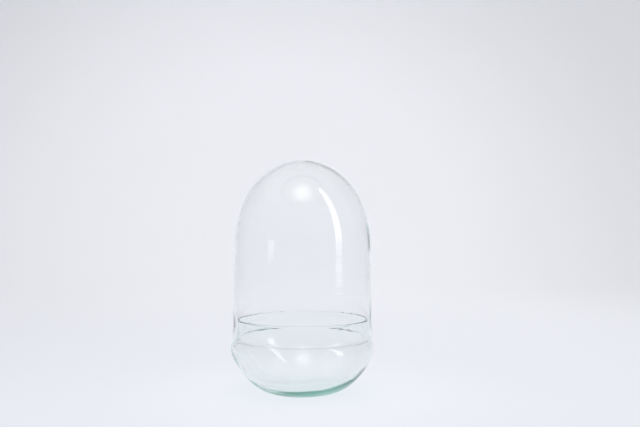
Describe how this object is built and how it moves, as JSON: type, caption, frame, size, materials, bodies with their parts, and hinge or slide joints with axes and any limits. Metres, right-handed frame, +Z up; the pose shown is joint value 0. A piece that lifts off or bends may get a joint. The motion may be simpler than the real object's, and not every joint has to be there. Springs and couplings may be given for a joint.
{
  "type": "glass terrarium",
  "caption": "Empty capsule-shaped terrarium of clear, faintly green glass: a thick-based bowl with a collar, and a rounded dome resting on its shoulder.",
  "frame": {"origin": "centre of the bowl's flat base, on the surface it stands on", "axes": "+Z up along the vessel's axis; the vessel is turned about it, so X and Y are free"},
  "size_m": [0.18, 0.18, 0.2917],
  "materials": {
    "glass": "polished, faintly green"
  },
  "bodies": {
    "root": {"bowl": "glass", "dome": "glass"}
  },
  "joints": []
}
